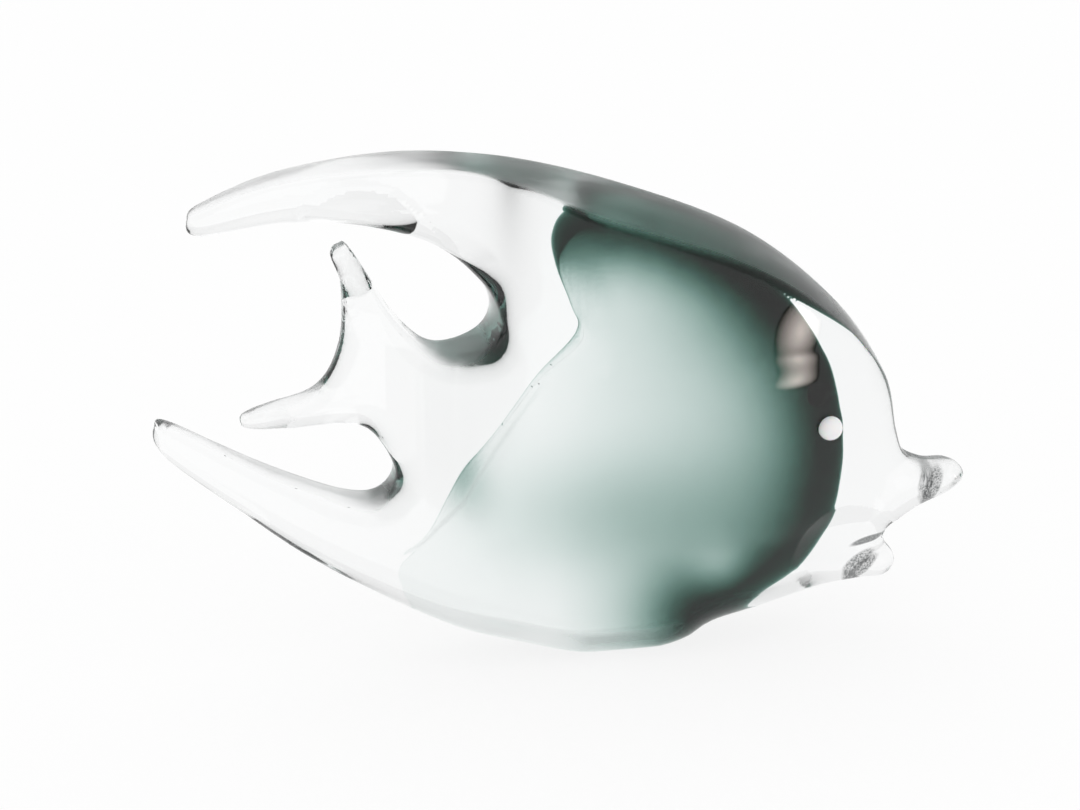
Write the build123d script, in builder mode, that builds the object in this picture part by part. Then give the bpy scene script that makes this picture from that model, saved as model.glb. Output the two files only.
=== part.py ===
"""Solid hot-worked glass fish: a tinted core cased in clear glass, with drawn fins, lips and eyes.

Frame: +X towards the head, +Y towards the fish's left side, +Z up.
The origin is the middle of the ground flat under the belly. Millimetres.
"""
import os

from build123d import *

# Driving dimensions
foot_length = 24.0            # ground flat under the belly
rim_radius = 3.0              # fire-polished edge of the body and the two large fins
tail_rim_radius = 1.5         # the tail is pulled thinner, with a finer edge
casing_side = 4.0             # clear glass over the tinted core at the sides
eye_diameter = 7.0
eye_proud = 3.4               # how far each eye stands off the cheek
eye_seat = 2.0                # overlap of each eye before it is trimmed to the cheek
upper_lip_radius = 6.2
lower_lip_radius = 5.0
lip_seat = 2.0                # overlap of the upper lip before it is trimmed to the snout
heart_radius = 46.0           # first clear gather, inside the tinted one
heart_half_thickness = 17.0
least_tint = 1.5              # thinnest tinted glass over the heart
thinnest = 1.5                # least half-thickness of the drawn-in form
reach = 60.0                  # half-length of the cutting prisms across the fish
block_top = 175.0             # edges of the cutting prisms, clear of the fish
block_bottom = -10.0
block_rear = -160.0

# Places in the side view, as (x, z)
eye_centre = (60.5, 73.0)
heart_centre = (-6.0, 62.0)
lip_joint_top = (98.5, 53.2)
lip_joint_bottom = (97.5, 40.4)
upper_lip_tip = (108.8, 48.4)
lower_lip_centre = (83.4, 20.4)

# Half-thickness of the glass at even steps along the fish: x, then at the foot, mid-height and top levels
form_levels = (-5.0, 80.0, 165.0)
form_stations = [
    (-140.0, 3.4, 3.6, 3.4),
    (-115.0, 5.0, 5.2, 5.0),
    (-90.0, 7.5, 8.0, 8.5),
    (-65.0, 10.0, 12.0, 12.5),
    (-40.0, 12.0, 17.0, 14.5),
    (-15.0, 13.0, 23.5, 16.0),
    (10.0, 13.0, 26.0, 16.0),
    (35.0, 12.0, 25.0, 12.5),
    (60.0, 6.5, 19.0, 8.0),
    (85.0, 4.0, 10.0, 5.0),
    (110.0, 3.0, 6.0, 3.0),
]
tail_half_plan = [(-114.0, 1.9), (-85.0, 5.6), (-60.0, 9.6), (-45.5, 14.6), (-24.0, 21.4), (-8.0, 24.4)]

# Outline stretches in the side view
back_line = [
    (-120.5, 147.7), (-98.0, 155.3), (-64.0, 158.6), (-30.5, 154.6), (4.0, 144.5),
    (39.5, 129.0), (66.0, 107.0), (80.8, 85.0), (86.0, 65.5), (90.0, 57.0), lip_joint_top,
]
chin_line = [
    lip_joint_bottom, (90.4, 36.7), (84.0, 30.5), (62.0, 22.0), (29.0, 9.2), (foot_length / 2, 0.0),
]
belly_rear = [(-foot_length / 2, 0.0), (-29.5, 5.2), (-54.0, 13.6), (-90.0, 34.4), (-133.0, 70.0)]
anal_tip = [(-133.0, 70.0), (-137.8, 79.0), (-133.6, 82.2)]
anal_upper = [
    (-133.6, 82.2), (-108.0, 67.6), (-84.6, 56.8), (-73.0, 55.8), (-68.4, 63.8), (-74.5, 76.0), (-84.0, 79.4),
]
tail_under = [(-84.0, 79.4), (-108.5, 79.6)]
tail_lower_tip = [(-108.5, 79.6), (-112.4, 82.0), (-109.5, 84.2)]
tail_rear = [(-109.5, 84.2), (-91.0, 90.2), (-83.4, 103.5), (-82.0, 121.0), (-84.4, 130.8)]
tail_upper_tip = [(-84.4, 130.8), (-82.4, 133.6), (-79.4, 131.8)]
tail_top = [(-79.4, 131.8), (-66.6, 110.6), (-55.2, 101.4), (-42.5, 103.2), (-38.6, 111.0)]
dorsal_under = [(-38.6, 111.0), (-43.6, 122.8), (-59.5, 135.3), (-93.0, 142.1), (-121.5, 139.2)]
dorsal_tip = [(-121.5, 139.2), (-124.6, 143.6), (-120.5, 147.7)]

# Seams where the hot bits were joined, and the open gaps that carry on from them
rear_seam = [
    (-32.0, block_top), (-27.5, 138.0), (-21.5, 110.0), (-29.0, 93.0), (-42.0, 72.0), (-53.0, 54.0),
    (-66.0, 37.0), (-100.0, block_bottom),
]
upper_gap = [(0.0, 99.4), (-38.6, 111.0), (-60.0, 122.0), (-82.0, 137.4), (block_rear, 137.4)]
lower_gap = [(-30.0, 37.3), (-68.4, 63.8), (-84.0, 70.0), (-112.0, 76.0), (-124.0, 86.0), (block_rear, 100.0)]
lobe_split = [(0.0, 76.0), (-83.0, 106.0), (block_rear, 106.0)]

# Strip of the lower lip along the chin: x, middle height, half-height and half-width
lip_strip = [(31.0, 10.5, 1.2, 4.0), (45.0, 15.6, 3.4, 8.0), (62.0, 20.4, 5.2, 8.0), (75.0, 21.2, 5.5, 6.2)]

# Outline of the tinted core
core_outline = [
    (-19.5, 134.0), (-13.0, 140.0), (0.0, 140.0), (24.0, 130.0), (52.4, 104.5), (65.0, 68.0), (63.0, 39.0),
    (43.0, 19.0), (12.0, 6.0), (-24.0, 9.0), (-54.0, 25.0), (-56.0, 39.0), (-38.0, 70.0), (-16.0, 102.0), (-16.5, 118.0),
]

os.makedirs("parts", exist_ok=True)


def fish_form(inset):
    """The domed thickness of the whole fish, drawn in by an inset on both sides."""
    low, middle, high = form_levels
    with BuildPart() as form:
        for x, *halves in form_stations:
            at_low, at_middle, at_high = (max(half - inset, thinnest) for half in halves)
            crown = 2 * at_middle - (at_low + at_high) / 2
            with BuildSketch(Plane.YZ.offset(x)):
                with BuildLine():
                    left = Bezier((at_low, low), (crown, middle), (at_high, high))
                    right = Bezier((-at_low, low), (-crown, middle), (-at_high, high))
                    Line(left @ 1, right @ 1)
                    Line(left @ 0, right @ 0)
                make_face()
        loft()
    return form.part


def block(path, corners, smooth):
    """A prism across the whole thickness, between a path in the side view and straight outer corners."""
    with BuildPart() as prism:
        with BuildSketch(Plane.XZ.offset(-reach)):
            with BuildLine():
                if smooth:
                    Spline(path)
                else:
                    Polyline(path)
                Polyline(path[-1], *corners, path[0])
            make_face()
        extrude(amount=2 * reach)
    return prism.part


def rim_edges(piece):
    """The edges where a piece's two side faces meet the outer walls of the fish."""
    sides = piece.faces().sort_by(SortBy.AREA)[-2:]
    outer_walls = silhouette.faces()
    edges = []
    for edge in sides.edges():
        middle = edge @ 0.5
        if min(wall.distance_to(Vertex(middle)) for wall in outer_walls) < 0.01:
            edges.append(edge)
    return ShapeList(edges)


with BuildPart() as silhouette:
    with BuildSketch(Plane.XZ.offset(-reach)):
        with BuildLine():
            Spline(back_line)
            Line(lip_joint_top, lip_joint_bottom)
            Spline(chin_line)
            Line(chin_line[-1], belly_rear[0])
            Spline(belly_rear)
            ThreePointArc(anal_tip)
            Spline(anal_upper)
            Line(tail_under)
            ThreePointArc(tail_lower_tip)
            Spline(tail_rear)
            ThreePointArc(tail_upper_tip)
            Spline(tail_top)
            Spline(dorsal_under)
            ThreePointArc(dorsal_tip)
        make_face()
    extrude(amount=2 * reach)

full_form = fish_form(0)
top_rear = (block_rear, block_top)
bottom_rear = (block_rear, block_bottom)
rear_block = block(rear_seam, [bottom_rear, top_rear], True)
dorsal_block = block(upper_gap, [top_rear, (upper_gap[0][0], block_top)], False)
anal_block = block(lower_gap, [bottom_rear, (lower_gap[0][0], block_bottom)], False)
upper_lobe_block = block(lobe_split, [top_rear, (lobe_split[0][0], block_top)], False)

# Swept-back dorsal fin
with BuildPart() as dorsal_fin:
    add(silhouette.part)
    add(full_form, mode=Mode.INTERSECT)
    add(rear_block, mode=Mode.INTERSECT)
    add(dorsal_block, mode=Mode.INTERSECT)
    fillet(rim_edges(dorsal_fin.part), radius=rim_radius)

# Swept-back anal fin
with BuildPart() as anal_fin:
    add(silhouette.part)
    add(full_form, mode=Mode.INTERSECT)
    add(rear_block, mode=Mode.INTERSECT)
    add(anal_block, mode=Mode.INTERSECT)
    fillet(rim_edges(anal_fin.part), radius=rim_radius)

# Forked tail, thinner than the fins, then parted into its two lobes
with BuildPart() as tail:
    with BuildSketch(Plane.XY):
        with BuildLine():
            left = Spline(tail_half_plan)
            right = Spline([(x, -y) for x, y in tail_half_plan])
            Line(left @ 0, right @ 0)
            Line(left @ 1, right @ 1)
        make_face()
    extrude(amount=form_levels[-1])
    add(silhouette.part, mode=Mode.INTERSECT)
    add(rear_block, mode=Mode.INTERSECT)
    add(dorsal_block, mode=Mode.SUBTRACT)
    add(anal_block, mode=Mode.SUBTRACT)
    fillet(rim_edges(tail.part), radius=tail_rim_radius)

with BuildPart() as upper_tail_lobe:
    add(tail.part)
    add(upper_lobe_block, mode=Mode.INTERSECT)

with BuildPart() as lower_tail_lobe:
    add(tail.part)
    add(upper_lobe_block, mode=Mode.SUBTRACT)

# Tinted core, drawn in from the body's sides
with BuildPart() as core:
    with BuildSketch(Plane.XZ.offset(-reach)):
        with BuildLine():
            Spline(core_outline, periodic=True)
        make_face()
    extrude(amount=2 * reach)
    add(fish_form(casing_side), mode=Mode.INTERSECT)

def towards_heart(point, distance):
    """A point of the side view moved towards the middle of the heart."""
    place = Vector(*point)
    return place + (Vector(*heart_centre) - place).normalized() * distance


# Clear heart, round but for its rear, where it follows the core under the thinnest tint
thickest = max(half for _, *halves in form_stations for half in halves)
with BuildPart() as heart:
    with BuildSketch(Plane.XZ.offset(-reach)):
        with BuildLine():
            Spline([towards_heart(point, least_tint) for point in core_outline], periodic=True)
        make_face()
    extrude(amount=2 * reach)
    with Locations((heart_centre[0], 0, heart_centre[1])):
        Cylinder(heart_radius, 2 * reach, rotation=(90, 0, 0), mode=Mode.INTERSECT)
    add(fish_form(thickest - heart_half_thickness), mode=Mode.INTERSECT)

with BuildPart() as tinted_core:
    add(core.part)
    add(heart.part, mode=Mode.SUBTRACT)

# Clear casing of the body, solid but for the core
with BuildPart() as body:
    add(silhouette.part)
    add(full_form, mode=Mode.INTERSECT)
    add(rear_block, mode=Mode.SUBTRACT)
    back_edges = rim_edges(body.part).group_by(SortBy.LENGTH)[-1]
    fillet(back_edges, radius=rim_radius)

with BuildPart() as body_casing:
    add(body.part)
    add(core.part, mode=Mode.SUBTRACT)

# Upper lip, a round bit on the end of the snout
with BuildPart() as upper_lip:
    joint_x = (lip_joint_top[0] + lip_joint_bottom[0]) / 2
    joint_z = (lip_joint_top[1] + lip_joint_bottom[1]) / 2
    forward = Vector(upper_lip_tip[0] - joint_x, 0, upper_lip_tip[1] - joint_z)
    lip_length = forward.length
    with BuildSketch(Plane(origin=(joint_x, 0, joint_z), x_dir=forward, z_dir=(0, -1, 0))) as profile:
        with BuildLine():
            Line((-lip_seat, 0), (-lip_seat, upper_lip_radius))
            Line((-lip_seat, upper_lip_radius), (lip_length / 3, upper_lip_radius))
            Spline(
                [(lip_length / 3, upper_lip_radius), (lip_length, 0)],
                tangents=[(1, 0), (0, -1)],
            )
            Line((lip_length, 0), (-lip_seat, 0))
        make_face()
    revolve(axis=Axis((joint_x, 0, joint_z), forward))
    add(body.part, mode=Mode.SUBTRACT)

# Lower lip, a long bit drawn back along the chin
with BuildPart() as lower_lip:
    lip_x, lip_z = lower_lip_centre
    for x, z, half_height, half_width in [*lip_strip, (lip_x, lip_z, lower_lip_radius, lower_lip_radius)]:
        with BuildSketch(Plane.YZ.offset(x)):
            with Locations((0, z)):
                Ellipse(half_width, half_height)
    loft()
    with Locations((lip_x, 0, lip_z)):
        Sphere(lower_lip_radius)
    add(body.part, mode=Mode.SUBTRACT)

# Eyes, a round dab of milky glass on each cheek, trimmed to the cheek's curve
def cheek_eye(side):
    """One eye on the side of the fish given by the sign of Y."""
    eye_x, eye_z = eye_centre
    hits = body.part.find_intersection_points(Axis((eye_x, 0, eye_z), (0, 1, 0)))
    cheek = max(side * point.Y for point, _ in hits)
    with BuildPart() as eye:
        with BuildSketch(Plane.XY.offset(eye_z)):
            with BuildLine():
                crown = (eye_x, side * (cheek + eye_proud))
                brim = (eye_x + eye_diameter / 2, side * cheek)
                root = (eye_x + eye_diameter / 2, side * (cheek - eye_seat))
                Spline([crown, brim], tangents=[(1, 0), (0, -side)])
                Polyline(brim, root, (eye_x, side * (cheek - eye_seat)), crown)
            make_face()
        revolve(axis=Axis((eye_x, 0, eye_z), (0, 1, 0)))
        add(body.part, mode=Mode.SUBTRACT)
    return eye


left_eye = cheek_eye(1)
right_eye = cheek_eye(-1)

pieces = {
    "body_casing": body_casing,
    "tinted_core": tinted_core,
    "inner_heart": heart,
    "dorsal_fin": dorsal_fin,
    "anal_fin": anal_fin,
    "upper_tail_lobe": upper_tail_lobe,
    "lower_tail_lobe": lower_tail_lobe,
    "upper_lip": upper_lip,
    "lower_lip": lower_lip,
    "left_eye": left_eye,
    "right_eye": right_eye,
}
for name, piece in pieces.items():
    piece.part.label = name
    export_step(piece.part, f"parts/{name}.step")
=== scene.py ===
"""Looks of a solid hot-worked glass fish: one fused clear skin, a smoky teal core, eyes, floor and light.

The outline follows the solids, and the thickness nearly so: the back is crowned and its edges are fire-polished.
Shapes are given in millimetres, as (x, z) in the side view, and every mesh is finished in metres.
"""

import math

import bmesh
import bpy
import numpy as np
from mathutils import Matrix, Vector


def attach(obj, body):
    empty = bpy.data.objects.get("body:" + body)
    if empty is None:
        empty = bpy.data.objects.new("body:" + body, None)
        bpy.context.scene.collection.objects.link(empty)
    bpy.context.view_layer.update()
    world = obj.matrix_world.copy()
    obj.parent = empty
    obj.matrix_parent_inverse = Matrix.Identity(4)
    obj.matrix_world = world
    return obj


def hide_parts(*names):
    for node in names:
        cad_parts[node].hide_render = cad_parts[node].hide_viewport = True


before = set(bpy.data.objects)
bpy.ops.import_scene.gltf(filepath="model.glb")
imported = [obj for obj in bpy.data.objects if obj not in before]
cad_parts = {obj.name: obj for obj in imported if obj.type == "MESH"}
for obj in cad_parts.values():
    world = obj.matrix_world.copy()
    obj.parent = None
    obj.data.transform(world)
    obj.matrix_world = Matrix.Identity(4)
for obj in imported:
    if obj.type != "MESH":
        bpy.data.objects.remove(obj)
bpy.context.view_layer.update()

MM = 0.001

# Side-view outline of the fused clear glass, clockwise from the dorsal tip, as (x, z)
OUTLINE = [
    (-120.5, 147.7), (-98.0, 155.3), (-64.0, 158.6), (-30.5, 154.6), (4.0, 144.5), (39.5, 129.0),
    (66.0, 107.0), (80.8, 85.0), (85.5, 66.5), (89.0, 57.5),
    (96.0, 53.6), (103.0, 53.2), (108.0, 50.6), (108.6, 46.8), (104.5, 43.0),
    (97.5, 40.0), (90.4, 36.4), (84.8, 32.0),
    (84.6, 27.6), (87.6, 23.2), (88.3, 19.0), (84.8, 15.4),
    (77.0, 15.4), (62.5, 15.0), (46.0, 12.0), (29.0, 8.4), (21.0, 3.2), (14.0, 0.6), (8.0, 0.0),
    (-8.0, 0.0), (-16.0, 0.9), (-29.5, 4.9), (-54.0, 13.3), (-90.0, 34.0), (-114.0, 53.4), (-132.0, 69.0),
    (-137.4, 76.0), (-137.6, 81.2), (-133.6, 82.8),
    (-108.0, 67.8), (-84.6, 57.0), (-73.0, 55.6), (-68.2, 63.6), (-74.5, 75.8), (-84.0, 79.2),
    (-108.5, 79.0), (-112.8, 81.8), (-109.5, 84.8),
    (-91.0, 90.6), (-83.4, 103.5), (-82.2, 121.0), (-85.0, 131.0), (-82.4, 134.0), (-79.0, 132.0),
    (-66.4, 110.8), (-55.2, 101.2), (-42.5, 103.0), (-38.4, 111.0), (-43.4, 122.8), (-59.5, 135.2),
    (-93.0, 141.8), (-121.5, 138.8), (-125.0, 143.6),
]

# Half-thickness at even steps along the fish, at the foot, mid-height and top levels
LEVELS = (-5.0, 80.0, 165.0)
FIRST_STATION = -140.0
STATION_STEP = 25.0
STATIONS = np.array([
    (3.4, 3.6, 3.4), (5.0, 5.2, 5.0), (7.5, 8.0, 7.5), (10.0, 12.0, 9.5), (12.0, 17.0, 11.0), (13.0, 23.5, 20.5),
    (13.0, 26.0, 19.0), (12.0, 25.0, 16.0), (6.5, 20.0, 13.0), (4.0, 11.0, 8.0), (3.0, 6.0, 3.0),
])

# Half-thickness of the forked tail along the fish, and where it has run out into the body
TAIL_PLAN = np.array([(-114.0, 1.9), (-85.0, 5.6), (-60.0, 9.6), (-45.5, 14.6), (-24.0, 21.4), (-8.0, 24.4)])
TAIL_END = (-46.0, -20.0)

# Seams between the tail and the two large fins, and the low step of the tail's gather at the body
UPPER_SEAM = ((-12.0, 103.0), (-38.6, 111.0))
LOWER_SEAM = ((-45.5, 48.0), (-68.4, 63.8))
SEAM_BLEND = 14.0
REAR_SEAM = np.array([(-69.0, 39.0), (-61.0, 44.0), (-49.0, 57.0), (-40.0, 74.0), (-26.5, 96.0)])
SEAM_STEP = 0.8
SEAM_WIDTH = 1.0
SEAM_FOOT = (36.0, 46.0)
SEAM_HEAD = (88.0, 100.0)

# Groove of the mouth, from its opening to its corner
MOUTH = ((84.5, 31.0), (73.0, 26.5))
MOUTH_DEPTH = 2.4
MOUTH_WIDTH = 1.4
MOUTH_FULL = 80.5

# Fire-polished edges: a crease along the crowned back, above the limit, and soft elsewhere
CREASE_ROUND = 1.8
SOFT_ROUND = 7.0
ROUND_SHARE = 0.9
CROWN_RADIUS = 55.0
BACK_BLEND = 8.0
BACK_LIMIT = np.array([(-125.0, 144.0), (-60.0, 148.0), (-40.0, 138.0), (0.0, 115.0), (40.0, 100.0), (66.0, 90.0),
                       (82.0, 88.0)])

# Beads at the pulled tips and lips, as (x, z, radius), and how fast the glass thickens away from them
TIPS = ((-121.2, 143.2, 4.3), (-134.2, 79.0, 3.5), (-82.4, 131.2, 2.7), (-110.2, 82.0, 2.6), (85.2, 19.6, 3.6),
        (104.0, 48.0, 4.6))
TIP_FLARE = 0.25
TIP_REACH = 22.0
TIP_ROUND = 0.95

# Eyes: place in the side view, the dab's profile as (radius, height), and the low mound that it is pressed on
EYE = (59.1, 75.1)
EYE_RADIUS = 3.8
EYE_PROFILE = ((0.0, 4.6), (1.5, 4.4), (2.9, 3.6), (3.7, 2.2), (3.8, 0.9), (3.3, -0.4), (2.6, -1.2), (0.0, -1.6))
EYE_LEAN = 0.12
EYE_MOUND = 0.4
MOUND_SPREAD = 0.8

# Smoky teal core: side-view outline, and the run of it where the tint is deep
CORE = [
    (-18.0, 133.0), (-13.0, 140.5), (0.0, 140.5), (12.0, 136.5), (24.0, 130.0), (39.8, 118.5), (52.4, 104.5),
    (61.0, 87.8), (65.0, 68.0), (65.5, 55.0), (63.0, 39.0), (55.5, 26.5), (43.0, 18.5), (28.0, 11.0), (18.0, 5.0),
    (8.0, 2.8), (-8.0, 2.8), (-28.0, 7.2), (-44.0, 12.6), (-58.0, 19.2), (-66.0, 26.0), (-66.5, 33.0), (-58.5, 42.0),
    (-52.0, 53.0), (-46.0, 63.0), (-37.0, 73.0), (-24.0, 90.0), (-11.5, 102.5), (-13.0, 112.0), (-17.0, 124.0),
]
RIM = [
    (-18.0, 136.0), (-13.0, 140.5), (0.0, 140.5), (12.0, 136.5), (24.0, 130.0), (39.8, 118.5), (52.4, 104.5),
    (61.0, 87.8), (65.0, 68.0), (65.5, 55.0), (63.0, 39.0), (55.5, 26.5), (43.0, 18.5), (28.0, 11.0),
]
CORE_CELL = 2.0
EDGE_RINGS = (0.15, 0.4, 0.8, 1.4)

# Clear casing over the core, and the core's round edge, which grows from front to rear
CASING = 4.0
CORE_EDGE = 0.2
CORE_ROUND = 3.0
REAR_CORE_ROUND = 14.0
CORE_ROUND_RUN = (-30.0, 5.0)
HEART_LEAST = 0.05

# Depth of tinted glass: deep along the rim, a light glow low at the front, a rise to the front, a low band, and
# painted shade beside the tail's seam
RIM_TINT = 34.0
RIM_START = 4.8
RIM_FADE = 7.4
TOP_RIM_FADE = 4.8
TOP_RIM_RUN = (95.0, 120.0)
GLOW = (30.0, 29.0)
GLOW_SHARE = 0.92
GLOW_SPREAD = 100.0
LEAST_TINT = 0.3
RISE = 0.042
RISE_START = -20.0
RISE_RUN = 60.0
LOW_TINT = 2.6
LOW_LEVEL = 47.0
LOW_SPREAD = 17.0
LOW_RUN = (-62.0, 10.0)
# Painted shade beside the tail's seam, given as extra depth of tint
SEAM_SHADE = (-45.5, 60.0)
SEAM_SHADE_TINT = 3.0
SEAM_SHADE_WIDTH = 6.0
SEAM_SHADE_HEIGHT = 9.0


def smooth_loop(points, step):
    """Points about one step apart on a smooth closed curve through the given points."""
    points = [Vector(p) for p in points]
    count = len(points)
    loop = []
    for i in range(count):
        a, b, c, d = (points[(i + k) % count] for k in (-1, 0, 1, 2))
        pieces = max(2, round((c - b).length / step))
        for k in range(pieces):
            t = k / pieces
            loop.append(0.5 * (
                2 * b + (c - a) * t + (2 * a - 5 * b + 4 * c - d) * t ** 2 + (3 * b - a - 3 * c + d) * t ** 3
            ))
    return loop


def open_line(points, step):
    """Points about one step apart along straight runs."""
    runs = [np.linspace(a, b, max(2, round(math.dist(a, b) / step))) for a, b in zip(points, points[1:])]
    return np.concatenate(runs)


def station_half(x, z):
    """Half-thickness of the body and the large fins at points of the side view."""
    u = np.clip((x - FIRST_STATION) / STATION_STEP, 0.0, len(STATIONS) - 1.001)
    i = np.floor(u).astype(int)
    t = (u - i)[:, None]
    a, b, c, d = (STATIONS[np.clip(i + k, 0, len(STATIONS) - 1)] for k in (-1, 0, 1, 2))
    low, middle, high = (0.5 * (
        2 * b + (c - a) * t + (2 * a - 5 * b + 4 * c - d) * t ** 2 + (3 * b - a - 3 * c + d) * t ** 3
    )).T
    s = (z - LEVELS[0]) / (LEVELS[2] - LEVELS[0])
    crown = 2 * middle - (low + high) / 2
    return (1 - s) ** 2 * low + 2 * s * (1 - s) * crown + s ** 2 * high


def smoothstep(low, high, value):
    """0 below low, 1 above high, and a smooth rise between them."""
    t = np.clip((value - low) / (high - low), 0.0, 1.0)
    return t * t * (3 - 2 * t)


def patch(x, z, centre, spread):
    """A round patch that is 1 at its centre and fades away from it."""
    return np.exp(-((x - centre[0]) ** 2 + (z - centre[1]) ** 2) / spread)


def side_of(line, x, z):
    """Signed distance of points from a straight line, positive on its left."""
    (ax, az), (bx, bz) = line
    length = math.hypot(bx - ax, bz - az)
    return ((bx - ax) * (z - az) - (bz - az) * (x - ax)) / length


def skin_half(x, z):
    """Half-thickness of the whole clear skin, with its thin tail, the mouth and the mounds of the eyes."""
    body = station_half(x, z)
    tail = np.interp(x, TAIL_PLAN[:, 0], TAIL_PLAN[:, 1])
    thin = 1 - smoothstep(*TAIL_END, x)
    for side in (-side_of(UPPER_SEAM, x, z), side_of(LOWER_SEAM, x, z)):
        thin = thin * (1 - smoothstep(-SEAM_BLEND, SEAM_BLEND, side))
    half = body + (tail - body) * thin
    fade = smoothstep(MOUTH[1][0], MOUTH_FULL, x)
    half = half - MOUTH_DEPTH * fade * np.exp(-(side_of(MOUTH, x, z) / MOUTH_WIDTH) ** 2)
    for tip_x, tip_z, radius in TIPS:
        away = np.hypot(x - tip_x, z - tip_z)
        half = np.minimum(half, radius + TIP_FLARE * away + (away / TIP_REACH) ** 3)
    return half + EYE_MOUND * patch(x, z, EYE, MOUND_SPREAD * EYE_RADIUS ** 2)


def edge_round(x, z, half):
    """Radius of the polished edge nearest to points of the side view."""
    soft = np.minimum(ROUND_SHARE * half, SOFT_ROUND)
    crease = np.minimum(soft, CREASE_ROUND)
    back = smoothstep(-BACK_BLEND, BACK_BLEND, z - np.interp(x, BACK_LIMIT[:, 0], BACK_LIMIT[:, 1]))
    radius = soft + (crease - soft) * back
    for tip_x, tip_z, bead in TIPS:
        away = np.hypot(x - tip_x, z - tip_z)
        radius = np.minimum(radius, TIP_ROUND * bead + TIP_FLARE / 2 * away)
    return radius


def nearest_on(line, x, z):
    """Distance of points from the nearest of a line's points, and which point it is."""
    gap = np.empty(len(x))
    place = np.empty(len(x), dtype=int)
    for start in range(0, len(x), 4000):
        part = slice(start, start + 4000)
        gaps = np.hypot(x[part, None] - line[:, 0], z[part, None] - line[:, 1])
        place[part] = gaps.argmin(axis=1)
        gap[part] = gaps[np.arange(len(gaps)), place[part]]
    return gap, place


def depth_inside(loop, x, z, place):
    """Signed depth of points inside a clockwise loop near the given places on it, and the inward direction there."""
    count = len(loop)
    ahead = np.roll(loop, -1, axis=0) - np.roll(loop, 1, axis=0)
    inward = np.column_stack((ahead[:, 1], -ahead[:, 0]))
    inward /= np.linalg.norm(inward, axis=1)[:, None]
    tries = (place[:, None] + np.arange(-6, 7)) % count
    a = loop[tries]
    run = loop[(tries + 1) % count] - a
    away = np.stack((x, z), axis=1)[:, None, :] - a
    t = np.clip((away * run).sum(axis=2) / (run ** 2).sum(axis=2), 0.0, 1.0)
    off = away - t[:, :, None] * run
    best = (off ** 2).sum(axis=2).argmin(axis=1)
    rows = np.arange(len(x))
    share = t[rows, best][:, None]
    first = tries[rows, best]
    toward = (1 - share) * inward[first] + share * inward[(first + 1) % count]
    return (off[rows, best] * toward).sum(axis=1), toward


def sheet_mesh(loop, cell, rings=()):
    """A flat sheet in the middle plane, filling a loop, with rings along its edge and cut into cells."""
    bm = bmesh.new()
    face = bm.faces.new([bm.verts.new((p.x, 0.0, p.y)) for p in loop])
    for ring in rings:
        bmesh.ops.inset_region(bm, faces=[face], thickness=ring, use_even_offset=True, use_boundary=True)
    bmesh.ops.triangulate(bm, faces=bm.faces[:])
    lows = [min(p[k] for p in loop) for k in (0, 1)]
    highs = [max(p[k] for p in loop) for k in (0, 1)]
    for axis, normal in ((0, (1, 0, 0)), (1, (0, 0, 1))):
        for k in range(1, math.ceil((highs[axis] - lows[axis]) / cell)):
            place = Vector(normal) * (lows[axis] + k * cell)
            bmesh.ops.bisect_plane(
                bm, geom=bm.verts[:] + bm.edges[:] + bm.faces[:], dist=0.03,
                plane_co=place, plane_no=normal,
            )
    return bm


def finished(bm, name):
    """A linked object from a bmesh in millimetres, with its faces pointing outwards."""
    bmesh.ops.recalc_face_normals(bm, faces=bm.faces[:])
    bmesh.ops.scale(bm, vec=(MM, MM, MM), verts=bm.verts[:])
    mesh = bpy.data.meshes.new(name)
    bm.to_mesh(mesh)
    bm.free()
    piece = bpy.data.objects.new(name, mesh)
    bpy.context.collection.objects.link(piece)
    return piece


def plate(name, loop, half_thickness, cell, rings=(), trimmed=False):
    """A closed solid over a side-view loop, or over all but its outer ring, with a half-thickness that varies."""
    bm = sheet_mesh(loop, cell, rings)
    if trimmed:
        outer = [face for face in bm.faces if any(vert.is_boundary for vert in face.verts)]
        bmesh.ops.delete(bm, geom=outer, context="FACES")
    near = bm.verts[:]
    rim = [edge for edge in bm.edges if edge.is_boundary]
    x = np.array([v.co.x for v in near])
    z = np.array([v.co.z for v in near])
    far_of = bmesh.ops.duplicate(bm, geom=bm.verts[:] + bm.edges[:] + bm.faces[:])["vert_map"]
    for vert, y in zip(near, half_thickness(x, z)):
        far_of[vert].co.y = y
        vert.co.y = -y
    for edge in rim:
        a, b = edge.verts
        bm.faces.new((a, b, far_of[b], far_of[a]))
    return finished(bm, name)


def apply_modifiers(piece):
    """Bakes a piece's modifiers into its mesh."""
    graph = bpy.context.evaluated_depsgraph_get()
    baked = bpy.data.meshes.new_from_object(piece.evaluated_get(graph))
    piece.modifiers.clear()
    piece.data = baked
    baked.name = piece.name


def smooth_shade(piece):
    """Shades all of a piece's faces smooth."""
    piece.data.polygons.foreach_set("use_smooth", [True] * len(piece.data.polygons))


# Node helpers
def new_material(name):
    """A material with an empty tree but for its output."""
    material = bpy.data.materials.new(name)
    material.use_nodes = True
    tree = material.node_tree
    tree.nodes.clear()
    output = tree.nodes.new("ShaderNodeOutputMaterial")
    return material, tree, output


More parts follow.
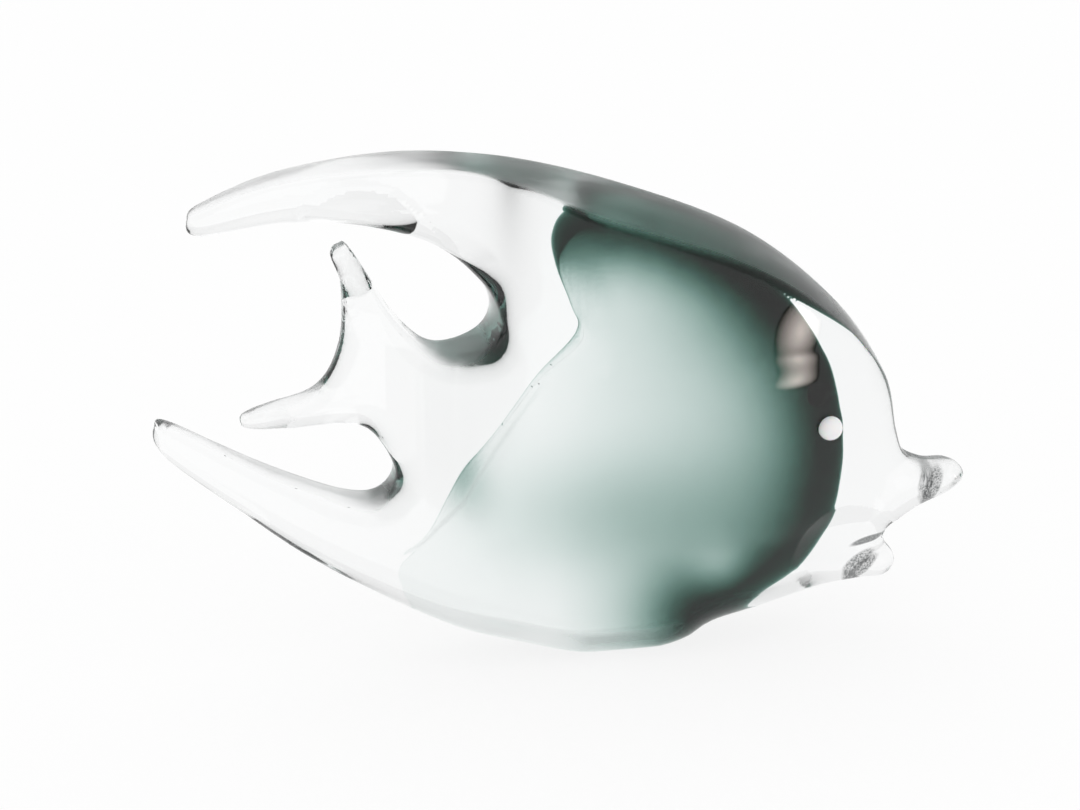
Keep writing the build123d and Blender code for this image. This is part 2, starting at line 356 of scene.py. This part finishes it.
def glass_ripple_group():
    """Slow waves of hand-worked glass: a faint cast of colour and a normal."""
    group = bpy.data.node_groups.new("glass_ripple", "ShaderNodeTree")
    group.interface.new_socket("Tint", in_out="INPUT", socket_type="NodeSocketColor")
    group.interface.new_socket("Color", in_out="OUTPUT", socket_type="NodeSocketColor")
    group.interface.new_socket("Normal", in_out="OUTPUT", socket_type="NodeSocketVector")
    start = group.nodes.new("NodeGroupInput")
    end = group.nodes.new("NodeGroupOutput")
    place = group.nodes.new("ShaderNodeTexCoord")
    waves = group.nodes.new("ShaderNodeTexNoise")
    waves.inputs["Scale"].default_value = 28.0
    waves.inputs["Detail"].default_value = 1.0
    mix = group.nodes.new("ShaderNodeMix")
    mix.data_type = "RGBA"
    mix.inputs["B"].default_value = (1.0, 1.0, 1.0, 1.0)
    bump = group.nodes.new("ShaderNodeBump")
    bump.inputs["Strength"].default_value = 0.08
    bump.inputs["Distance"].default_value = 0.002
    link = group.links.new
    link(place.outputs["Object"], waves.inputs["Vector"])
    link(waves.outputs["Fac"], mix.inputs["Factor"])
    link(start.outputs["Tint"], mix.inputs["A"])
    link(waves.outputs["Fac"], bump.inputs["Height"])
    link(mix.outputs["Result"], end.inputs["Color"])
    link(bump.outputs["Normal"], end.inputs["Normal"])
    return group


# Grey marks in the clear glass: seed specks at the upper lip's and the lower lip's joints, and painted shade in the
# mouth's crease on the right side, as (centre, half-sizes, turn in degrees, grain from 0 to 1)
MARKS = (
    ((97.4, 0.0, 46.7), (3.3, 900.0, 7.8), 21.0, 1.0),
    ((76.0, 0.0, 20.2), (8.2, 900.0, 2.9), -38.0, 1.0),
    # The mouth's mark is painted shade in its crease, on the right side only
    ((77.6, -9.0, 30.8), (7.2, 12.0, 1.6), -11.0, 0.2),
)


# Wear, seed specks and painted crease shade: how far up a face has to look, its streaks along the fins, and the grain
# of the marks
UPWARD = (0.45, 0.9)
STREAK_SCALE = (30.0, 90.0, 90.0)
STREAK_RANGE = (0.3, 0.7)
WORN_ROUGHNESS = (0.3, 0.6)
GRAIN_SCALE = 1700.0
GRAIN_RANGE = (0.36, 0.6)
GRAIN_DEPTH = 0.5
MARK_EDGE = 0.35
# Grey of the seed specks, and of the painted shade in the mouth's crease
MARK_GREY = (0.055, 0.06, 0.06)


def wear_and_shade_group():
    """Fine wear on the upper faces, in streaks along the fins, grey seed specks at the lips' joints, and painted shade
    in the mouth's crease.
    """
    group = bpy.data.node_groups.new("wear_and_shade", "ShaderNodeTree")
    group.interface.new_socket("Roughness", in_out="OUTPUT", socket_type="NodeSocketFloat")
    group.interface.new_socket("SeedsAndCreaseShade", in_out="OUTPUT", socket_type="NodeSocketFloat")
    end = group.nodes.new("NodeGroupOutput")
    link = group.links.new

    def ranged(source, span, ends, smooth=False):
        node = group.nodes.new("ShaderNodeMapRange")
        node.interpolation_type = "SMOOTHSTEP" if smooth else "LINEAR"
        for name, value in zip(("From Min", "From Max", "To Min", "To Max"), (*span, *ends)):
            node.inputs[name].default_value = value
        link(source, node.inputs["Value"])
        return node.outputs["Result"]

    def combined(kind, a, b):
        node = group.nodes.new("ShaderNodeMath")
        node.operation = kind
        link(a, node.inputs[0])
        link(b, node.inputs[1])
        return node.outputs[0]

    def mapped(kind, place, turn, scale):
        node = group.nodes.new("ShaderNodeMapping")
        node.vector_type = kind
        node.inputs["Location"].default_value = place
        node.inputs["Rotation"].default_value = turn
        node.inputs["Scale"].default_value = scale
        link(spot.outputs["Object"], node.inputs["Vector"])
        return node.outputs["Vector"]

    def noise(vector, scale, detail):
        node = group.nodes.new("ShaderNodeTexNoise")
        node.inputs["Scale"].default_value = scale
        node.inputs["Detail"].default_value = detail
        link(vector, node.inputs["Vector"])
        return node.outputs["Fac"]

    spot = group.nodes.new("ShaderNodeTexCoord")
    face = group.nodes.new("ShaderNodeNewGeometry")
    facing = group.nodes.new("ShaderNodeSeparateXYZ")
    link(face.outputs["Normal"], facing.inputs["Vector"])
    upward = ranged(facing.outputs["Z"], UPWARD, (0.0, 1.0), smooth=True)
    streaks = noise(mapped("POINT", (0, 0, 0), (0, 0, 0), STREAK_SCALE), 1.0, 2.0)
    link(combined("MULTIPLY", upward, ranged(streaks, STREAK_RANGE, WORN_ROUGHNESS)), end.inputs["Roughness"])
    grain = noise(spot.outputs["Object"], GRAIN_SCALE, 3.0)
    marks = None
    for centre, reach, turn, grained in MARKS:
        fall = group.nodes.new("ShaderNodeTexGradient")
        fall.gradient_type = "SPHERICAL"
        link(mapped("TEXTURE", [v * MM for v in centre], (0, math.radians(turn), 0), [v * MM for v in reach]),
             fall.inputs["Vector"])
        mark = ranged(fall.outputs["Fac"], (0.0, MARK_EDGE), (0.0, 1.0), smooth=True)
        mark = combined("MULTIPLY", mark, ranged(grain, GRAIN_RANGE, (1 - GRAIN_DEPTH * grained, 1.0)))
        marks = combined("MAXIMUM", marks, mark) if marks else mark
    link(marks, end.inputs["SeedsAndCreaseShade"])
    return group


RIPPLE = glass_ripple_group()
WEAR_AND_SHADE = wear_and_shade_group()


def glass(name, tint, ior, absorb, density, worn_and_shaded=False):
    """Clear or tinted glass: a refracting surface, worn or not, round a plain absorbing volume; the worn one also
    holds seed specks and painted shade in the mouth's crease.
    """
    material, tree, output = new_material(name)
    surface = tree.nodes.new("ShaderNodeBsdfPrincipled")
    surface.inputs["Metallic"].default_value = 0.0
    surface.inputs["Roughness"].default_value = 0.0
    surface.inputs["IOR"].default_value = ior
    surface.inputs["Transmission Weight"].default_value = 1.0
    ripple = tree.nodes.new("ShaderNodeGroup")
    ripple.node_tree = RIPPLE
    ripple.inputs["Tint"].default_value = (*tint, 1.0)
    volume = tree.nodes.new("ShaderNodeVolumeAbsorption")
    volume.inputs["Color"].default_value = (*absorb, 1.0)
    volume.inputs["Density"].default_value = density
    tree.links.new(ripple.outputs["Normal"], surface.inputs["Normal"])
    tree.links.new(surface.outputs["BSDF"], output.inputs["Surface"])
    tree.links.new(volume.outputs["Volume"], output.inputs["Volume"])
    if not worn_and_shaded:
        tree.links.new(ripple.outputs["Color"], surface.inputs["Base Color"])
        return material
    wear_and_shade = tree.nodes.new("ShaderNodeGroup")
    wear_and_shade.node_tree = WEAR_AND_SHADE
    # Grey seed specks at the lips' joints and painted shade in the mouth's crease, over the ripple's colour
    seeds_and_crease_shade = tree.nodes.new("ShaderNodeMix")
    seeds_and_crease_shade.data_type = "RGBA"
    seeds_and_crease_shade.inputs["B"].default_value = (*MARK_GREY, 1.0)
    tree.links.new(wear_and_shade.outputs["SeedsAndCreaseShade"], seeds_and_crease_shade.inputs["Factor"])
    tree.links.new(ripple.outputs["Color"], seeds_and_crease_shade.inputs["A"])
    tree.links.new(seeds_and_crease_shade.outputs["Result"], surface.inputs["Base Color"])
    tree.links.new(wear_and_shade.outputs["Roughness"], surface.inputs["Roughness"])
    return material


# Clear skin: body, fins, tail and lips fused into one polished form
OUTLINE_STEP = 0.8
SKIN_CELL = 3.0
VOXEL = 1.0
POLISH_PASSES = 6
outline_loop = smooth_loop(OUTLINE, OUTLINE_STEP)
for point in outline_loop:
    point.y = max(point.y, 0.0)
skin = plate("clear_glass_skin", outline_loop[::2], skin_half, SKIN_CELL)
remesh = skin.modifiers.new("fuse", "REMESH")
remesh.mode = "VOXEL"
remesh.voxel_size = VOXEL * MM
apply_modifiers(skin)


def keep_largest(piece):
    """Removes the small pockets that fusing leaves inside a mesh."""
    bm = bmesh.new()
    bm.from_mesh(piece.data)
    left = set(bm.verts)
    shells = []
    while left:
        shell = {left.pop()}
        edge = list(shell)
        while edge:
            reached = {e.other_vert(v) for v in edge for e in v.link_edges} - shell
            shell |= reached
            edge = list(reached)
        left -= shell
        shells.append(shell)
    shells.sort(key=len)
    bmesh.ops.delete(bm, geom=[v for shell in shells[:-1] for v in shell], context="VERTS")
    bm.to_mesh(piece.data)
    bm.free()


def seam_step(x, y, z):
    """The step of the tail gather below the body's skin, on the right side."""
    along = np.interp(z, REAR_SEAM[:, 1], REAR_SEAM[:, 0])
    ends = smoothstep(*SEAM_FOOT, z) * (1 - smoothstep(*SEAM_HEAD, z))
    return SEAM_STEP * ends * smoothstep(-SEAM_WIDTH, SEAM_WIDTH, x - along) * (y < 0)


def polish(piece, loop):
    """Draws a mesh onto the true form: the outline and the two domed sides, met by a round edge."""
    edge = np.array([(p.x, p.y) for p in loop])
    points = np.empty(len(piece.data.vertices) * 3)
    piece.data.vertices.foreach_get("co", points)
    points = points.reshape(-1, 3) / MM
    place = nearest_on(edge, points[:, 0], points[:, 2])[1]
    probe = 0.1
    for _ in range(POLISH_PASSES):
        x, y, z = points.T
        depth, toward = depth_inside(edge, x, z, place)
        depth = depth - y ** 2 / (2 * CROWN_RADIUS)
        half, east, north = (
            skin_half(x + dx, z + dz) + seam_step(x + dx, y, z + dz) for dx, dz in ((0, 0), (probe, 0), (0, probe))
        )
        slope = np.column_stack(((east - half) / probe, -np.sign(y), (north - half) / probe))
        steep = np.linalg.norm(slope, axis=1)
        side = (half - np.abs(y)) / steep
        slope /= steep[:, None]
        radius = edge_round(x, z, half)
        u = np.maximum(radius - depth, 0.0)
        v = np.maximum(radius - side, 0.0)
        reach = np.maximum(np.hypot(u, v), 1e-6)
        inward = v[:, None] * slope
        inward[:, 0] += u * toward[:, 0]
        inward[:, 1] -= u * y / CROWN_RADIUS
        inward[:, 2] += u * toward[:, 1]
        inward /= reach[:, None]
        points -= ((radius - reach) / np.maximum((inward ** 2).sum(axis=1), 0.2))[:, None] * inward
    piece.data.vertices.foreach_set("co", (points * MM).ravel())
    piece.data.update()
    smooth_shade(piece)
    outward = -inward / np.linalg.norm(inward, axis=1)[:, None]
    piece.data.normals_split_custom_set_from_vertices(outward.tolist())


keep_largest(skin)
polish(skin, outline_loop)
# Worn, with seed specks at the lips' joints and painted shade in the mouth's crease
skin.data.materials.append(glass("clear_glass", (0.99, 0.995, 0.995), 1.5, (0.5, 0.6, 0.6), 1.5, worn_and_shaded=True))
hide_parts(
    "body_casing", "dorsal_fin", "anal_fin", "upper_tail_lobe", "lower_tail_lobe", "upper_lip", "lower_lip",
)
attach(skin, "root")

# Smoky teal core: a closed layer round the clear heart, deep along its rim and thin at the rear
core_loop = smooth_loop(CORE, 1.6)
core_line = np.array([(p.x, p.y) for p in core_loop])
rim_line = open_line(RIM, 1.0)


def core_half(x, z):
    """Half-thickness of the core, under the casing and round at its edge."""
    edge = REAR_CORE_ROUND + (CORE_ROUND - REAR_CORE_ROUND) * smoothstep(*CORE_ROUND_RUN, x)
    t = np.clip(depth_inside(core_line, x, z, nearest_on(core_line, x, z)[1])[0] / edge, 0.0, 1.0)
    return (skin_half(x, z) - CASING) * np.sqrt(1 - (1 - t) ** 2) + CORE_EDGE


def tint_depth(x, z):
    """Thickness of tinted glass that a look through the sides crosses, with painted shade beside the tail's seam
    added.
    """
    gap = nearest_on(rim_line, x, z)[0]
    fade = RIM_FADE + (TOP_RIM_FADE - RIM_FADE) * smoothstep(*TOP_RIM_RUN, z)
    deep = RIM_TINT * np.exp(-np.maximum(gap - RIM_START, 0.0) / fade)
    deep *= 1 - GLOW_SHARE * patch(x, z, GLOW, GLOW_SPREAD)
    rise = RISE * np.clip(x - RISE_START, 0.0, RISE_RUN)
    low = LOW_TINT * np.exp(-((z - LOW_LEVEL) / LOW_SPREAD) ** 2) * smoothstep(*LOW_RUN, x)
    # Painted shade beside the tail's seam
    seam_shade = SEAM_SHADE_TINT * np.exp(-((x - SEAM_SHADE[0]) / SEAM_SHADE_WIDTH) ** 2 - ((z - SEAM_SHADE[1]) / SEAM_SHADE_HEIGHT) ** 2)
    return deep + LEAST_TINT + rise + low + seam_shade


def heart_half(x, z):
    """Half-thickness of the hollow that holds the clear heart."""
    return np.maximum(core_half(x, z) - tint_depth(x, z) / 2, HEART_LEAST)


def hollow(outer, inner):
    """Joins a smaller closed piece to a larger one as the wall of a hollow in it."""
    bm = bmesh.new()
    bm.from_mesh(inner.data)
    bmesh.ops.reverse_faces(bm, faces=bm.faces[:])
    bm.from_mesh(outer.data)
    bm.to_mesh(outer.data)
    bm.free()
    bpy.data.objects.remove(inner)


core = plate("smoky_core", core_loop, core_half, CORE_CELL, EDGE_RINGS)
hollow(core, plate("core_hollow", core_loop, heart_half, CORE_CELL, EDGE_RINGS, trimmed=True))
smooth_shade(core)
core.data.materials.append(glass("smoky_teal_glass", (1.0, 1.0, 1.0), 1.0, (0.333, 0.533, 0.485), 370.0))
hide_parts("tinted_core", "inner_heart")
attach(core, "root")


# Eyes: dabs of milky glass pressed on the cheeks
def opal(name):
    """Milky glass, white all through under a clear polish."""
    material, tree, output = new_material(name)
    surface = tree.nodes.new("ShaderNodeBsdfPrincipled")
    surface.inputs["Roughness"].default_value = 0.06
    surface.inputs["IOR"].default_value = 1.5
    surface.inputs["Subsurface Weight"].default_value = 0.3
    surface.inputs["Subsurface Scale"].default_value = 0.002
    ripple = tree.nodes.new("ShaderNodeGroup")
    ripple.node_tree = RIPPLE
    ripple.inputs["Tint"].default_value = (0.97, 0.98, 0.98, 1.0)
    tree.links.new(ripple.outputs["Color"], surface.inputs["Base Color"])
    tree.links.new(ripple.outputs["Normal"], surface.inputs["Normal"])
    tree.links.new(surface.outputs["BSDF"], output.inputs["Surface"])
    return material


milk_glass = opal("milk_glass")
for name, side in (("left_eye", 1.0), ("right_eye", -1.0)):
    bm = bmesh.new()
    ring = [bm.verts.new((radius, 0.0, height)) for radius, height in EYE_PROFILE]
    edges = [bm.edges.new(pair) for pair in zip(ring, ring[1:])]
    bmesh.ops.spin(
        bm, geom=ring + edges, cent=(0, 0, 0), axis=(0, 0, 1), angle=math.tau, steps=24, use_merge=True,
        use_duplicate=False,
    )
    bmesh.ops.remove_doubles(bm, verts=bm.verts[:], dist=0.001)
    cheek = float(skin_half(np.array([EYE[0]]), np.array([EYE[1]]))[0])
    turn = Vector((0, 0, 1)).rotation_difference(Vector((EYE_LEAN, side, 0.0))).to_matrix()
    bmesh.ops.rotate(bm, cent=(0, 0, 0), matrix=turn, verts=bm.verts[:])
    bmesh.ops.translate(bm, vec=(EYE[0], side * cheek, EYE[1]), verts=bm.verts[:])
    eye = finished(bm, name + "_dab")
    rounder = eye.modifiers.new("round", "SUBSURF")
    rounder.levels = rounder.render_levels = 1
    smooth_shade(eye)
    eye.data.materials.append(milk_glass)
    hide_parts(name)
    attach(eye, "root")

# Floor
FLOOR_PALE = 0.93
FLOOR_GLOW = 0.85
FLOOR_SIZE = 3.0
material, tree, output = new_material("pale_floor")
floor_finish = tree.nodes.new("ShaderNodeBsdfDiffuse")
floor_finish.inputs["Color"].default_value = (FLOOR_PALE, FLOOR_PALE, FLOOR_PALE, 1.0)
glow = tree.nodes.new("ShaderNodeEmission")
glow.inputs["Strength"].default_value = 1.0
path = tree.nodes.new("ShaderNodeLightPath")
seen = tree.nodes.new("ShaderNodeMath")
seen.operation = "MAXIMUM"
seen_through = tree.nodes.new("ShaderNodeMath")
seen_through.operation = "MAXIMUM"
share = tree.nodes.new("ShaderNodeMath")
share.operation = "MULTIPLY"
share.inputs[1].default_value = FLOOR_GLOW
blend = tree.nodes.new("ShaderNodeMixShader")
tree.links.new(path.outputs["Is Camera Ray"], seen.inputs[0])
tree.links.new(path.outputs["Is Glossy Ray"], seen.inputs[1])
tree.links.new(seen.outputs[0], seen_through.inputs[0])
tree.links.new(path.outputs["Is Transmission Ray"], seen_through.inputs[1])
tree.links.new(seen_through.outputs[0], share.inputs[0])
tree.links.new(share.outputs[0], blend.inputs[0])
tree.links.new(floor_finish.outputs["BSDF"], blend.inputs[1])
tree.links.new(glow.outputs["Emission"], blend.inputs[2])
tree.links.new(blend.outputs["Shader"], output.inputs["Surface"])
bm = bmesh.new()
bmesh.ops.create_grid(bm, x_segments=8, y_segments=8, size=FLOOR_SIZE)
floor_mesh = bpy.data.meshes.new("floor")
bm.to_mesh(floor_mesh)
bm.free()
floor = bpy.data.objects.new("floor", floor_mesh)
floor.location.z = -0.0002
floor.data.materials.append(material)
bpy.context.collection.objects.link(floor)

# Small round softbox, low at the right front: it glows on the shoulder, and isn't seen itself or through the glass
SOFTBOX = Vector((0.198, -0.223, 0.0385))
SOFTBOX_AIM = Vector((0.0485, -0.021, 0.1065))
SOFTBOX_RADIUS = 0.03
SOFTBOX_LEVEL = 14.0
SOFTBOX_WARMTH = (1.0, 0.9, 0.84)
material, tree, output = new_material("softbox_face")
place = tree.nodes.new("ShaderNodeTexCoord")
spread = tree.nodes.new("ShaderNodeMapping")
spread.inputs["Scale"].default_value = (1 / SOFTBOX_RADIUS,) * 3
fall = tree.nodes.new("ShaderNodeTexGradient")
fall.gradient_type = "SPHERICAL"
level = tree.nodes.new("ShaderNodeMath")
level.operation = "MULTIPLY"
level.inputs[1].default_value = SOFTBOX_LEVEL
lamp = tree.nodes.new("ShaderNodeEmission")
lamp.inputs["Color"].default_value = (*SOFTBOX_WARMTH, 1.0)
tree.links.new(place.outputs["Object"], spread.inputs["Vector"])
tree.links.new(spread.outputs["Vector"], fall.inputs["Vector"])
tree.links.new(fall.outputs["Fac"], level.inputs[0])
tree.links.new(level.outputs[0], lamp.inputs["Strength"])
tree.links.new(lamp.outputs["Emission"], output.inputs["Surface"])
bm = bmesh.new()
bmesh.ops.create_circle(bm, cap_ends=True, segments=48, radius=SOFTBOX_RADIUS)
softbox_mesh = bpy.data.meshes.new("softbox")
bm.to_mesh(softbox_mesh)
bm.free()
softbox = bpy.data.objects.new("softbox", softbox_mesh)
softbox.location = SOFTBOX
softbox.rotation_euler = (SOFTBOX_AIM - SOFTBOX).to_track_quat("Z", "Y").to_euler()
softbox.visible_camera = softbox.visible_transmission = False
softbox.data.materials.append(material)
bpy.context.collection.objects.link(softbox)

# Studio: pale all round, a little darker behind the camera and brighter overhead
DARK_SIDE = 0.55
PALE_SIDE = 0.92
OVERHEAD = 1.2
world = bpy.data.worlds.new("studio")
bpy.context.scene.world = world
world.use_nodes = True
sky = world.node_tree
sky.nodes.clear()
sky_out = sky.nodes.new("ShaderNodeOutputWorld")
backdrop = sky.nodes.new("ShaderNodeBackground")
direction = sky.nodes.new("ShaderNodeTexCoord")
parts = sky.nodes.new("ShaderNodeSeparateXYZ")
facing = sky.nodes.new("ShaderNodeMapRange")
facing.inputs["From Min"].default_value = -0.95
facing.inputs["From Max"].default_value = 0.1
ramp = sky.nodes.new("ShaderNodeValToRGB")
ramp.color_ramp.elements[0].color = (DARK_SIDE, DARK_SIDE, DARK_SIDE, 1.0)
ramp.color_ramp.elements[1].color = (PALE_SIDE, PALE_SIDE, PALE_SIDE, 1.0)
height = sky.nodes.new("ShaderNodeMapRange")
height.interpolation_type = "SMOOTHSTEP"
height.inputs["From Min"].default_value = 0.5
height.inputs["From Max"].default_value = 0.85
overhead = sky.nodes.new("ShaderNodeMix")
overhead.data_type = "RGBA"
overhead.inputs["B"].default_value = (OVERHEAD, OVERHEAD, OVERHEAD, 1.0)
sky.links.new(direction.outputs["Generated"], parts.inputs["Vector"])
sky.links.new(parts.outputs["Y"], facing.inputs["Value"])
sky.links.new(facing.outputs["Result"], ramp.inputs["Fac"])
sky.links.new(parts.outputs["Z"], height.inputs["Value"])
sky.links.new(height.outputs["Result"], overhead.inputs["Factor"])
sky.links.new(ramp.outputs["Color"], overhead.inputs["A"])
sky.links.new(overhead.outputs["Result"], backdrop.inputs["Color"])
sky.links.new(backdrop.outputs["Background"], sky_out.inputs["Surface"])

# Camera at the photo's angle
LENS = 85.0
TARGET = Vector((-0.024, 0.0, 0.080))
AZIMUTH = math.radians(-10.5)
ELEVATION = math.radians(22.0)
DISTANCE = 0.7574
toward = Vector((
    math.sin(AZIMUTH) * math.cos(ELEVATION), -math.cos(AZIMUTH) * math.cos(ELEVATION), math.sin(ELEVATION),
))
camera = bpy.data.objects.new("camera", bpy.data.cameras.new("camera"))
camera.data.lens = LENS
camera.data.sensor_width = 36.0
camera.data.sensor_fit = "HORIZONTAL"
camera.location = TARGET + toward * DISTANCE
camera.rotation_euler = (-toward).to_track_quat("-Z", "Y").to_euler()
bpy.context.collection.objects.link(camera)
bpy.context.scene.camera = camera

scene = bpy.context.scene
scene.view_settings.view_transform = "Standard"
scene.cycles.max_bounces = 24
scene.cycles.transmission_bounces = 24
scene.cycles.transparent_max_bounces = 16
